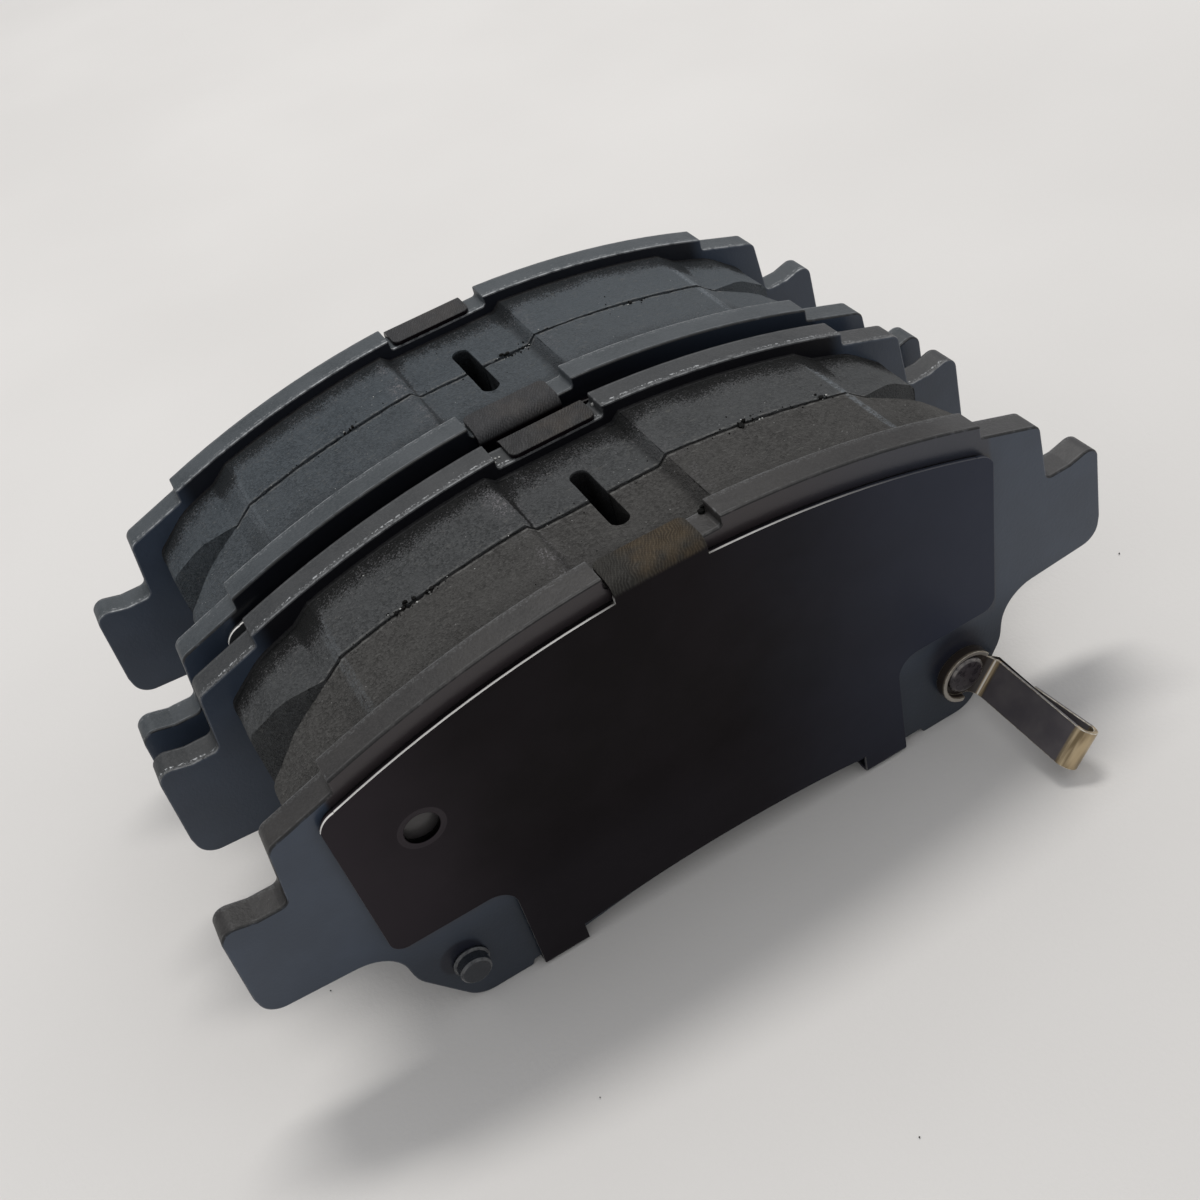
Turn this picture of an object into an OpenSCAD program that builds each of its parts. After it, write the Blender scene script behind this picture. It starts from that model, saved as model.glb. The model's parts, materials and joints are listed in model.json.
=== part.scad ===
// Set of four disc brake pads standing on their lower edges, stacked face to face in two pairs.
// Each pad is a steel backing plate, a bonded friction block, a clipped-on shim with a rubber
// liner and two riveted studs. The outermost pad at each end carries a wear indicator.

/* [Backing plate] */
// Length over the two ears, mm
plate_length = 152.2; // [148:0.2:156]
// Thickness of the steel plate, mm
plate_thickness = 5; // [4:0.5:6.5]
// Radius of the arched top edge, mm
top_radius = 160; // [155:1:175]
// Height of the top edge on the centre line, mm
top_height = 67; // [66:0.2:69]
// Half width of the notch for the shim's top tab, mm
notch_half_width = 9.3; // [9:0.1:11]
// Height of the notch floor, mm
notch_floor = 64.9; // [64.2:0.1:65.1]
// Height of the arch between the two lower lobes, mm
arch_height = 4.2; // [3:0.2:4.4]

/* [Friction block] */
// Thickness of the friction block, mm
lining_thickness = 14; // [10:0.5:16]
// Thickness of the bonding underlayer, mm
underlayer_thickness = 0.8; // [0.5:0.1:1.5]
// Drop from the plate's top edge to the block's top, mm
lining_drop = 1.9; // [1.5:0.1:3]
// Width of the central groove, mm
groove_width = 3; // [2:0.2:5]
// Depth of the central groove, mm
groove_depth = 7.7; // [4:0.1:8.5]
// Distance from the centre line to where each end chamfer starts, mm
chamfer_start = 46.5; // [38:0.5:50]
// Depth of the end chamfers at the end of the block, mm
chamfer_depth = 5.8; // [2:0.2:7]

/* [Shim] */
// Thickness of the shim steel, mm
shim_thickness = 0.8; // [0.5:0.1:1]
// Thickness of the rubber liner behind the shim, mm
liner_thickness = 0.7; // [0.4:0.1:0.8]
// Half length of the shim along its top corners, mm
shim_half_length = 55.8; // [54:0.2:56.4]
// Half width of the top tab, mm
tab_half_width = 7.4; // [5:0.1:7.4]
// Diameter of the round hole, mm
shim_hole_d = 5.4; // [4:0.2:8]

/* [Studs and wear indicator] */
// Distance from the centre line to each stud, mm
stud_x = 47; // [46:0.5:48]
// Height of the studs above the lobe's lower edge, mm
stud_z = 9.6; // [9:0.2:11]
// Height the studs stand above the plate, mm
stud_height = 2.6; // [2.2:0.1:4]
// Diameter of the stud tips, mm
stud_d = 5.3; // [4.8:0.1:5.8]
// Width of the wear indicator strip, mm
indicator_width = 7.2; // [6.4:0.1:7.6]
// Thickness of the wear indicator strip, mm
indicator_thickness = 0.8; // [0.6:0.1:1]
// Length of the wear indicator's straight leg, mm
indicator_leg = 17.7; // [14:0.1:20]
// Angle of the indicator below the horizontal, degrees
indicator_angle = 36.8; // [30:0.2:42]

/* [Stack] */
// Gap between two facing friction blocks, mm
face_gap = 0.12; // [0.05:0.01:1]
// Gap between the tips of two back-to-back studs, mm
stud_gap = 0.1; // [0.05:0.01:1]
// Sideways seating of the front pad's shim, mm
front_shift = -1.5; // [-1.5:0.1:1.5]
// Sideways seating of the second pad's shim, mm
second_shift = -0.8; // [-1.5:0.1:1.5]
// Sideways seating of the third pad's shim, mm
third_shift = -1.2; // [-1.5:0.1:1.5]
// Sideways seating of the rear pad's shim, mm
rear_shift = 1; // [-1.5:0.1:1.5]

/* [Hidden] */
$fn = 96;
arc_fn = 360;
// How far a corner's circle reaches past its tangent lines, so that the edges cross cleanly
corner_overlap = 0.002;
top_cz = top_height - top_radius;
ear_x = plate_length / 2;
pad_thickness = plate_thickness + underlayer_thickness + lining_thickness;
lining_y = plate_thickness + underlayer_thickness;
back_half = stud_height + stud_gap / 2;
outer_y = back_half + 2 * pad_thickness + face_gap;
shim_face = shim_thickness + liner_thickness;
outline_top = top_height + 4;
// Seats under the lower lobes for the shim's two lower tabs
seat_z = 1.1;
seat_in = 24;
seat_out = 38.5;
arch_radius = 161;
// Distance from the centre line to the end of the friction block
lining_end = 60.3;
// How far the friction block's arch lies above the plate's arch
lining_arch_rise = 4.5;
// Shim: drop of its top edge below the plate's, arch and cut-outs over the plate's lobes
shim_drop = 3.9;
shim_arch_height = 6.2;
shim_arch_radius = 203;
shim_cut_x = 35.3;
shim_cut_z = 21.9;
shim_corner_r = 3.5;
hole_x = -43.3;
hole_z = 43;
low_tab_x = 31.25;
low_tab_width = 8.1;
tab_corner_r = 1.3;
// Rivet shanks and the holes they fill
shank_r = 2;
shank_clear = 0.02;
shank_end = plate_thickness - 0.05;

// Plate outline, right half, from the top centre down to the arch: x, z, corner radius
plate_half = [
    [notch_half_width, notch_floor, 0.6],
    [notch_half_width, outline_top, 0],
    [52.7, outline_top, 0],
    [53.1, 55.8, 0.6],
    [64, 52.1, 1.8],
    [65.3, 41, 1.3],
    [70, 41.1, 0],
    [ear_x - 0.7, 42.7, 2.2],
    [ear_x + 0.2, 27, 0],
    [ear_x - 0.3, 22.4, 3.5],
    [56.4, 20.9, 7],
    [55.4, 11.6, 7],
    [48.1, 0, 5],
    [seat_out, 0, 0.5],
    [seat_out - 0.5, seat_z, 0.5],
    [seat_in, seat_z, 0],
    [seat_in - 0.4, -1, 0]
];

// Friction block outline, right half, from the top centre down
lining_half = [
    [10.3, 63.3, 0.4],
    [12, 64.9, 0],
    [12.3, outline_top, 0],
    [43.5, outline_top, 0],
    [43.6, 58.9, 0.4],
    [46.8, 56.4, 1.5],
    [53.6, 53.9, 12],
    [lining_end, 48.4, 3],
    [lining_end, 31, 6],
    [51, 13, 5],
    [43.5, 5.2, 3],
    [37, 4.4, 0],
    [36.6, 1, 0]
];

function mirrored(pts) = [for (i = [len(pts) - 1 : -1 : 0]) [-pts[i][0], pts[i][1], pts[i][2]]];
function flat(p) = [p[0], p[1]];
function unit(v) = v / norm(v);
function cross2(a, b) = a[0] * b[1] - a[1] * b[0];

// Region between a corner and the arc that rounds it
module corner_sliver(p, a, b, r) {
    ua = unit(a - p);
    ub = unit(b - p);
    half = acos(ua * ub) / 2;
    t = r / tan(half);
    c = p + unit(ua + ub) * r / sin(half);
    difference() {
        polygon([p + 0.3 * (p - c), p + ua * t, c, p + ub * t]);
        translate(c)
            circle(r + corner_overlap);
    }
}

// Closed outline, clockwise, with each corner rounded by its own radius
module rounded_outline(pts) {
    n = len(pts);
    difference() {
        union() {
            polygon([for (p = pts) flat(p)]);
            for (i = [0 : n - 1]) {
                p = flat(pts[i]);
                a = flat(pts[(i + n - 1) % n]);
                b = flat(pts[(i + 1) % n]);
                if (pts[i][2] > 0 && cross2(p - a, b - p) > 0)
                    corner_sliver(p, a, b, pts[i][2]);
            }
        }
        for (i = [0 : n - 1]) {
            p = flat(pts[i]);
            a = flat(pts[(i + n - 1) % n]);
            b = flat(pts[(i + 1) % n]);
            if (pts[i][2] > 0 && cross2(p - a, b - p) < 0)
                corner_sliver(p, a, b, pts[i][2]);
        }
    }
}

// Flat slab standing in the X-Z plane, from y0 to y0 + h
module slab(y0, h) {
    translate([0, y0 + h, 0])
        rotate([90, 0, 0])
            linear_extrude(height = h)
                children();
}

// Cylinder along Y, from y0 to y0 + h
module bar(x, y0, z, r, h) {
    translate([x, y0 + h, z])
        rotate([90, 0, 0])
            cylinder(r = r, h = h);
}

module top_circle(drop) {
    translate([0, top_cz])
        circle(r = top_radius - drop, $fn = arc_fn);
}

module arch_circle(rise) {
    translate([0, arch_height - arch_radius + rise])
        circle(r = arch_radius, $fn = arc_fn);
}

// Steel backing plate, outer face at y = 0, friction side towards +Y
module backing_plate() {
    color([0.13, 0.15, 0.17])
        difference() {
            slab(0, plate_thickness)
                difference() {
                    intersection() {
                        rounded_outline(concat(plate_half, mirrored(plate_half)));
                        top_circle(0);
                    }
                    arch_circle(0);
                }
            for (s = [-1, 1])
                bar(s * stud_x, -1, stud_z, shank_r + shank_clear, plate_thickness + 2);
        }
}

module lining_outline() {
    difference() {
        intersection() {
            rounded_outline(concat(lining_half, mirrored(lining_half)));
            top_circle(lining_drop);
        }
        arch_circle(lining_arch_rise);
    }
}

module underlayer() {
    color([0.09, 0.09, 0.1])
        slab(plate_thickness, underlayer_thickness)
            lining_outline();
}

// Friction block with a central groove and a chamfer at each end
module friction_block() {
    face = pad_thickness;
    end_x = 64;
    end_drop = chamfer_depth * (end_x - chamfer_start) / (lining_end - chamfer_start);
    color([0.27, 0.27, 0.27])
        difference() {
            slab(lining_y, lining_thickness)
                lining_outline();
            translate([0, 0, -1])
                linear_extrude(height = outline_top)
                    union() {
                        translate([0, face - groove_depth + groove_width / 2])
                            circle(d = groove_width);
                        translate([-groove_width / 2, face - groove_depth + groove_width / 2])
                            square([groove_width, groove_depth]);
                    }
            for (s = [-1, 1])
                translate([0, 0, -1])
                    linear_extrude(height = outline_top)
                        polygon([
                            [s * chamfer_start, face],
                            [s * chamfer_start, face + 1],
                            [s * end_x, face + 1],
                            [s * end_x, face - end_drop]
                        ]);
        }
}

// Shim outline without its tabs; e shrinks every edge
module shim_outline(e) {
    half = [
        [shim_half_length - e, top_height, 0],
        [shim_half_length - 1 - e, shim_cut_z + e, 2.5],
        [shim_cut_x - e, shim_cut_z + e, 4],
        [shim_cut_x - e, 0, 0]
    ];
    difference() {
        intersection() {
            rounded_outline(concat(half, mirrored(half)));
            top_circle(shim_drop + e);
        }
        translate([0, shim_arch_height - shim_arch_radius + e])
            circle(r = shim_arch_radius, $fn = arc_fn);
        translate([0, -5])
            square([80, 19], center = true);
        for (s = [-1, 1])
            shim_corner(s, e);
    }
}

// Rounds the shim's upper corners
module shim_corner(s, e) {
    r = shim_corner_r;
    cx = shim_half_length - 0.15 - e - r;
    cz = top_cz + sqrt(pow(top_radius - shim_drop - e - r, 2) - cx * cx);
    translate([s * cx, cz])
        difference() {
            polygon([[0, 0], [s * 2 * r, -0.2], [s * 2 * r, 2 * r], [s * 0.9, 2 * r]]);
            circle(r + corner_overlap);
        }
}

module shim_hole(r) {
    translate([hole_x, hole_z])
        circle(r);
}

// Quarter bend of the shim steel, along X, centred on y, z
module quarter_bend(x, width, y, z, outer, from) {
    translate([x, y, z])
        rotate([90, 0, 90])
            linear_extrude(height = width)
                intersection() {
                    difference() {
                        circle(outer);
                        circle(outer - shim_thickness);
                    }
                    rotate(from)
                        square(outer + 1);
                }
}

// Steel shim with one tab over the top notch and two under the lower edge
module shim() {
    face = -shim_face;
    bend_top = 1.8;
    tab_top = notch_floor + 0.1 + shim_thickness;
    bend_low = 1.1;
    tab_low = seat_z - 0.15 - shim_thickness;
    color([0.1, 0.09, 0.1])
        union() {
            slab(face, shim_thickness)
                difference() {
                    union() {
                        shim_outline(0);
                        translate([-tab_half_width, 50])
                            square([2 * tab_half_width, tab_top - bend_top - 50]);
                        for (s = [-1, 1])
                            translate([s * low_tab_x - low_tab_width / 2, tab_low + bend_low])
                                square([low_tab_width, 12]);
                    }
                    shim_hole(shim_hole_d / 2);
                }
            quarter_bend(-tab_half_width, 2 * tab_half_width, face + bend_top, tab_top - bend_top, bend_top, 90);
            translate([0, 0, tab_top - shim_thickness])
                linear_extrude(height = shim_thickness)
                    rounded_outline([
                        [-tab_half_width, face + bend_top, 0],
                        [-tab_half_width, plate_thickness, tab_corner_r],
                        [tab_half_width, plate_thickness, tab_corner_r],
                        [tab_half_width, face + bend_top, 0]
                    ]);
            for (s = [-1, 1]) {
                tab_x = s * low_tab_x - low_tab_width / 2;
                quarter_bend(tab_x, low_tab_width, face + bend_low, tab_low + bend_low, bend_low, 180);
                translate([tab_x, face + bend_low, tab_low])
                    cube([low_tab_width, plate_thickness - face - bend_low - 0.6, shim_thickness]);
            }
        }
}

// Rubber liner between the shim and the plate
module liner() {
    color([0.06, 0.06, 0.06])
        slab(-liner_thickness, liner_thickness)
            difference() {
                shim_outline(0.35);
                shim_hole(shim_hole_d / 2 + 0.5);
            }
}

// Stud riveted through the plate, with a low collar and a chamfered tip
module stud() {
    chamfer = 0.35;
    tip_r = stud_d / 2;
    collar_r = tip_r + 0.4;
    color([0.14, 0.16, 0.18])
        rotate([90, 0, 0])
            rotate_extrude()
                polygon([
                    [0, -shank_end],
                    [shank_r, -shank_end],
                    [shank_r, 0],
                    [collar_r, 0],
                    [collar_r, 0.5],
                    [tip_r, 0.6],
                    [tip_r, stud_height - chamfer],
                    [tip_r - chamfer, stud_height],
                    [0, stud_height]
                ]);
}

// Rivet that holds the wear indicator's eyelet
module indicator_rivet() {
    head = indicator_thickness;
    head_r = 3.5;
    color([0.2, 0.19, 0.19])
        rotate([90, 0, 0])
            rotate_extrude()
                polygon([
                    [0, -shank_end],
                    [shank_r, -shank_end],
                    [shank_r, head],
                    [head_r, head],
                    [head_r, head + 0.5],
                    [head_r - 0.6, head + 0.9],
                    [0, head + 1]
                ]);
}

// Side profile of the indicator strip: u runs away from the rivet, w away from the plate
module strip_profile() {
    t = indicator_thickness;
    bend = 2.1;
    loop = 1.5;
    tilt = 13;
    return_length = 11;
    leg_u = 4.9;
    leg_w = t + bend;
    loop_w = leg_w + indicator_leg;
    square([leg_u - bend, t]);
    translate([leg_u - bend, leg_w])
        intersection() {
            difference() {
                circle(bend + t);
                circle(bend);
            }
            translate([0, -bend - t - 1])
                square(bend + t + 1);
        }
    translate([leg_u, leg_w])
        square([t, indicator_leg]);
    translate([leg_u + t + loop, loop_w]) {
        intersection() {
            difference() {
                circle(loop + t);
                circle(loop);
            }
            polygon([
                [0, 0],
                [-4, 0],
                [-4, 4],
                [4, 4],
                [4, -4 * tan(tilt)]
            ]);
        }
        rotate(-tilt)
            translate([loop, -return_length])
                square([t, return_length]);
    }
}

// Wear indicator: an eyelet with a raised rim, a straight leg and a hairpin return
module wear_indicator() {
    t = indicator_thickness;
    eye_r = 5.2;
    rim = 0.8;
    rim_height = 1.1;
    rim_end = 1.9;
    color([0.45, 0.41, 0.33])
        rotate([180, indicator_angle, 0])
            difference() {
                union() {
                    linear_extrude(height = indicator_width, center = true)
                        strip_profile();
                    rotate([-90, 0, 0])
                        cylinder(r = eye_r - 0.5, h = t);
                    difference() {
                        rotate([-90, 0, 0])
                            cylinder(r = eye_r, h = t + rim_height);
                        translate([0, t, 0])
                            rotate([-90, 0, 0])
                                cylinder(r = eye_r - rim, h = 3);
                        translate([rim_end, -1, -10])
                            cube(20);
                    }
                }
                translate([0, -1, 0])
                    rotate([-90, 0, 0])
                        cylinder(r = shank_r + shank_clear, h = 4);
            }
}

module at_stud(s) {
    translate([s * stud_x, 0, stud_z])
        children();
}

// Places a pad: facing 1 looks towards +Y, facing -1 towards -Y
module place(y, facing) {
    translate([0, y, 0])
        rotate([0, 0, facing > 0 ? 0 : 180])
            children();
}

module front() {
    place(-outer_y, 1)
        children();
}

module second() {
    place(-back_half, -1)
        children();
}

module third() {
    place(back_half, 1)
        children();
}

module rear() {
    place(outer_y, -1)
        children();
}

module shifted(x) {
    translate([x, 0, 0])
        children();
}

module front_plate() { front() backing_plate(); }
module front_underlayer() { front() underlayer(); }
module front_friction() { front() friction_block(); }
module front_liner() { front() shifted(front_shift) liner(); }
module front_shim() { front() shifted(front_shift) shim(); }
module front_stud() { front() at_stud(-1) stud(); }
module front_rivet() { front() at_stud(1) indicator_rivet(); }
module front_indicator() { front() at_stud(1) wear_indicator(); }
module second_plate() { second() backing_plate(); }
module second_underlayer() { second() underlayer(); }
module second_friction() { second() friction_block(); }
module second_liner() { second() shifted(second_shift) liner(); }
module second_shim() { second() shifted(second_shift) shim(); }
module second_stud_left() { second() at_stud(-1) stud(); }
module second_stud_right() { second() at_stud(1) stud(); }
module third_plate() { third() backing_plate(); }
module third_underlayer() { third() underlayer(); }
module third_friction() { third() friction_block(); }
module third_liner() { third() shifted(third_shift) liner(); }
module third_shim() { third() shifted(third_shift) shim(); }
module third_stud_left() { third() at_stud(-1) stud(); }
module third_stud_right() { third() at_stud(1) stud(); }
module rear_plate() { rear() backing_plate(); }
module rear_underlayer() { rear() underlayer(); }
module rear_friction() { rear() friction_block(); }
module rear_liner() { rear() shifted(rear_shift) liner(); }
module rear_shim() { rear() shifted(rear_shift) shim(); }
module rear_stud() { rear() at_stud(-1) stud(); }
module rear_rivet() { rear() at_stud(1) indicator_rivet(); }
module rear_indicator() { rear() at_stud(1) wear_indicator(); }

front_plate();
front_underlayer();
front_friction();
front_liner();
front_shim();
front_stud();
front_rivet();
front_indicator();
second_plate();
second_underlayer();
second_friction();
second_liner();
second_shim();
second_stud_left();
second_stud_right();
third_plate();
third_underlayer();
third_friction();
third_liner();
third_shim();
third_stud_left();
third_stud_right();
rear_plate();
rear_underlayer();
rear_friction();
rear_liner();
rear_shim();
rear_stud();
rear_rivet();
rear_indicator();
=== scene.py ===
"""Looks for a set of four disc brake pads standing on their lower edges in a face-to-face stack."""

import json
import math

import bmesh
import bpy
import numpy as np
from mathutils import Matrix, Vector
from mathutils.bvhtree import BVHTree


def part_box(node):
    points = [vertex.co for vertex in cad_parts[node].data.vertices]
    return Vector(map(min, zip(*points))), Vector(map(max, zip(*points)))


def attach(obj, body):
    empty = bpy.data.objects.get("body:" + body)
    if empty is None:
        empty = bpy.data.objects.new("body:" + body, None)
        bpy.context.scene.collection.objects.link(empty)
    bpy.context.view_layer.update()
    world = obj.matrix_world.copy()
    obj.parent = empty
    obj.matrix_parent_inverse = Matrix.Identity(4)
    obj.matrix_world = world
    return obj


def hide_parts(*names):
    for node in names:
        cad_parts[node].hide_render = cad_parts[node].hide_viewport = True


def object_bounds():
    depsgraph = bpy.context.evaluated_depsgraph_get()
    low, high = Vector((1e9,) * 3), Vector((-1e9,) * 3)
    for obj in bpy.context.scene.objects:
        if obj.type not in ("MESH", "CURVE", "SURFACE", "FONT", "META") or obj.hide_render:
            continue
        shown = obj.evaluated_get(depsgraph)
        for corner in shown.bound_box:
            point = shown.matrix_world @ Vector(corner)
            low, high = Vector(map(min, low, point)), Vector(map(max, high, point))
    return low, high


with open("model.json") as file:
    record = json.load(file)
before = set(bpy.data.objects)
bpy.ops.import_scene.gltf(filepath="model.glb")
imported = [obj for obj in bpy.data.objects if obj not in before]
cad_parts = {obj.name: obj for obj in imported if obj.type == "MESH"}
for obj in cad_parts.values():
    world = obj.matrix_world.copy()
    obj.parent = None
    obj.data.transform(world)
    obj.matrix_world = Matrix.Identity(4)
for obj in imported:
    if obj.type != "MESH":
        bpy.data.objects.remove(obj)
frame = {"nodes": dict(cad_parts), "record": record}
cad_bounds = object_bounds()

MM = 0.001

# facing: +1 where the plate stands in front of its friction block, -1 where it stands behind.
# seed: shifts a pad's noise. The tint runs from 0 for the near, brownish pad up to 1 for the far one; it
# paints the far pads bluer, as a stand-in for the bluish light on them.
# strip: colour of the plate just above its shim, darkened there as painted shade of the narrow gap; near
# black on the three far pads.
# shear_line and the next four keys give the strength of a detail, from 0 to 1, in this order: the dotted
# shear line; the shim's painted reflections and the painted highlight on its cut edge; the dark band beside
# the plate, part black paint overspray and part painted shade; the painted shade in the creases; the grey
# corner of the shim.
PADS = {
    "front": {
        "facing": 1, "seed": 3, "blue_light_tint": 0.0, "strip": (0.032, 0.026, 0.028),
        "shear_line": 0.10, "cut_edge": 1.0, "mist_and_shade": 0.2, "crease": 0.35, "corner": 0.0,
    },
    "second": {
        "facing": -1, "seed": 11, "blue_light_tint": 0.35, "strip": (0.006, 0.006, 0.008),
        "shear_line": 1.0, "cut_edge": 0.12, "mist_and_shade": 1.0, "crease": 1.0, "corner": 0.0,
    },
    "third": {
        "facing": 1, "seed": 23, "blue_light_tint": 0.9, "strip": (0.006, 0.007, 0.010),
        "shear_line": 0.20, "cut_edge": 0.12, "mist_and_shade": 0.3, "crease": 0.5, "corner": 1.0,
    },
    "rear": {
        "facing": -1, "seed": 37, "blue_light_tint": 1.0, "strip": (0.006, 0.006, 0.008),
        "shear_line": 0.5, "cut_edge": 0.8, "mist_and_shade": 0.9, "crease": 0.6, "corner": 0.0,
    },
}


def mm_box(node):
    """Lowest and highest corner of a CAD node, in millimetres."""
    lo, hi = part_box(node)
    return lo / MM, hi / MM


def plate_back(pad):
    """Y of the plate's outer face and the direction from it towards the friction block."""
    lo, hi = mm_box(pad + "_plate")
    facing = PADS[pad]["facing"]
    return (lo.y if facing > 0 else hi.y), facing


def seam_of(pad):
    """Y of the friction block's wear face, where it meets the facing pad."""
    lo, hi = mm_box(pad + "_friction")
    return hi.y if PADS[pad]["facing"] > 0 else lo.y


def new_object(name, data):
    """An object in the scene that holds a mesh, light or camera."""
    obj = bpy.data.objects.new(name, data)
    bpy.context.scene.collection.objects.link(obj)
    return obj


def mesh_from(shape, name):
    """Turns a bmesh into a mesh."""
    mesh = bpy.data.meshes.new(name)
    shape.to_mesh(mesh)
    shape.free()
    return mesh


# ---------------------------------------------------------------- shader building

class Shader:
    """A node material under construction. Coordinates are the CAD frame's, in millimetres."""

    def __init__(self, name, seed=0):
        self.seed = seed
        self.mat = bpy.data.materials.new(name)
        self.mat.use_nodes = True
        self.tree = self.mat.node_tree
        self.bsdf = self.tree.nodes["Principled BSDF"]
        coord = self.add("ShaderNodeTexCoord")
        scaled = self.add("ShaderNodeVectorMath")
        scaled.operation = "SCALE"
        self.put(scaled.inputs[0], coord.outputs["Object"])
        scaled.inputs["Scale"].default_value = 1 / MM
        self.mm = scaled.outputs[0]
        self.x, self.y, self.z = self.split(self.mm)
        self.nx, self.ny, self.nz = self.split(coord.outputs["Normal"])

    def add(self, kind):
        return self.tree.nodes.new(kind)

    def put(self, socket, value):
        if isinstance(value, bpy.types.NodeSocket):
            self.tree.links.new(value, socket)
        elif value is not None:
            socket.default_value = value

    def split(self, vector):
        node = self.add("ShaderNodeSeparateXYZ")
        self.put(node.inputs[0], vector)
        return node.outputs[0], node.outputs[1], node.outputs[2]

    def math(self, op, a, b=None, clamp=False):
        node = self.add("ShaderNodeMath")
        node.operation = op
        node.use_clamp = clamp
        self.put(node.inputs[0], a)
        self.put(node.inputs[1], b)
        return node.outputs[0]

    def plus(self, a, b):
        return self.math("ADD", a, b)

    def minus(self, a, b):
        return self.math("SUBTRACT", a, b)

    def abs(self, value):
        return self.math("ABSOLUTE", value)

    def length(self, a, b):
        return self.math("SQRT", self.plus(self.times(a, a), self.times(b, b)))

    def most(self, *values):
        """The largest of the values."""
        out = values[0]
        for value in values[1:]:
            out = self.math("MAXIMUM", out, value)
        return out

    def times(self, *values):
        out = values[0]
        for value in values[1:]:
            out = self.math("MULTIPLY", out, value)
        return out

    def smooth(self, value, lo, hi):
        """0 below lo, 1 above hi, smooth between."""
        node = self.add("ShaderNodeMapRange")
        node.interpolation_type = "SMOOTHSTEP"
        self.put(node.inputs["Value"], value)
        node.inputs["From Min"].default_value = lo
        node.inputs["From Max"].default_value = hi
        return node.outputs["Result"]

    def fall(self, value, lo, hi):
        """1 below lo, 0 above hi."""
        return self.minus(1.0, self.smooth(value, lo, hi))

    def band(self, value, lo, hi, soft):
        """1 between lo and hi, falling to 0 over the distance soft outside them."""
        return self.times(self.smooth(value, lo - soft, lo), self.fall(value, hi, hi + soft))

    def stretched(self, scale):
        """The coordinates scaled along each axis."""
        node = self.add("ShaderNodeVectorMath")
        node.operation = "MULTIPLY"
        self.put(node.inputs[0], self.mm)
        node.inputs[1].default_value = scale
        return node.outputs[0]

    def noise(self, size, detail=3.0, rough=0.55, vector=None, shift=0):
        """Noise between 0 and 1 whose features are about size millimetres across."""
        node = self.add("ShaderNodeTexNoise")
        node.noise_dimensions = "4D"
        self.put(node.inputs["Vector"], vector or self.mm)
        node.inputs["W"].default_value = self.seed + shift
        node.inputs["Scale"].default_value = 1 / size
        node.inputs["Detail"].default_value = detail
        node.inputs["Roughness"].default_value = rough
        return node.outputs["Fac"]

    def cells(self, size):
        """(distance to the nearest grain centre, random value of the grain)."""
        node = self.add("ShaderNodeTexVoronoi")
        self.put(node.inputs["Vector"], self.mm)
        node.inputs["Scale"].default_value = 1 / size
        return node.outputs["Distance"], self.split(node.outputs["Color"])[0]

    def mix(self, factor, a, b):
        """Mix of two colours."""
        node = self.add("ShaderNodeMix")
        node.data_type = "RGBA"
        self.put(node.inputs[0], factor)
        self.put(node.inputs[6], rgba(a))
        self.put(node.inputs[7], rgba(b))
        return node.outputs[2]

    def blend(self, factor, a, b):
        """Mix of two numbers."""
        node = self.add("ShaderNodeMix")
        node.data_type = "FLOAT"
        self.put(node.inputs[0], factor)
        self.put(node.inputs[2], a)
        self.put(node.inputs[3], b)
        return node.outputs[0]

    def hatch(self, pitch, waver):
        """Fine slanting ridges that waver by the given distance, crossed weakly the other way."""
        run = self.plus(self.minus(self.times(self.x, 0.89), self.times(self.y, 0.45)), waver)
        cross = self.plus(self.times(self.x, 0.6), self.times(self.y, 0.8))
        turns = 2 * math.pi / pitch
        one = self.math("SINE", self.times(run, turns))
        two = self.math("SINE", self.times(cross, turns))
        return self.plus(self.times(one, 0.6), self.times(two, 0.15))

    def bump(self, height, distance, normal=None):
        """Bump of the given depth in millimetres."""
        node = self.add("ShaderNodeBump")
        node.inputs["Strength"].default_value = 1.0
        node.inputs["Distance"].default_value = distance * MM
        self.put(node.inputs["Height"], height)
        self.put(node.inputs["Normal"], normal)
        return node.outputs["Normal"]

    def finish(self, colour, rough, normal, metallic=0.0, specular=0.5):
        self.put(self.bsdf.inputs["Base Color"], rgba(colour))
        self.put(self.bsdf.inputs["Roughness"], rough)
        self.put(self.bsdf.inputs["Metallic"], metallic)
        self.put(self.bsdf.inputs["Normal"], normal)
        self.bsdf.inputs["Specular IOR Level"].default_value = specular
        return self.mat


def rgba(colour):
    """Adds the fourth value that a colour socket takes."""
    return (*colour, 1.0) if isinstance(colour, tuple) and len(colour) == 3 else colour


def lerp(a, b, t):
    """The colour a fraction t of the way from a to b."""
    return tuple(p + (q - p) * t for p, q in zip(a, b))


# ---------------------------------------------------------------- materials

# Colours, as linear red, green and blue. The bluish ones belong to the far pads, and their blue is painted
# light: it stands in for the bluish light on those pads.
BLACK = (0.0, 0.0, 0.0)
WHITE = (1.0, 1.0, 1.0)
PAINT = (0.010, 0.009, 0.009)
PAINT_IN_BLUE_LIGHT = (0.020, 0.028, 0.034)
PAINT_LIGHT = (0.018, 0.016, 0.015)
PALE_PAINT_IN_BLUE_LIGHT = (0.045, 0.054, 0.062)
PAINT_SHOULDER = (0.060, 0.059, 0.061)
SHADE_ABOVE_BLOCK = (0.005, 0.005, 0.007)
CORNER_GREY = (0.050, 0.053, 0.055)
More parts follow.
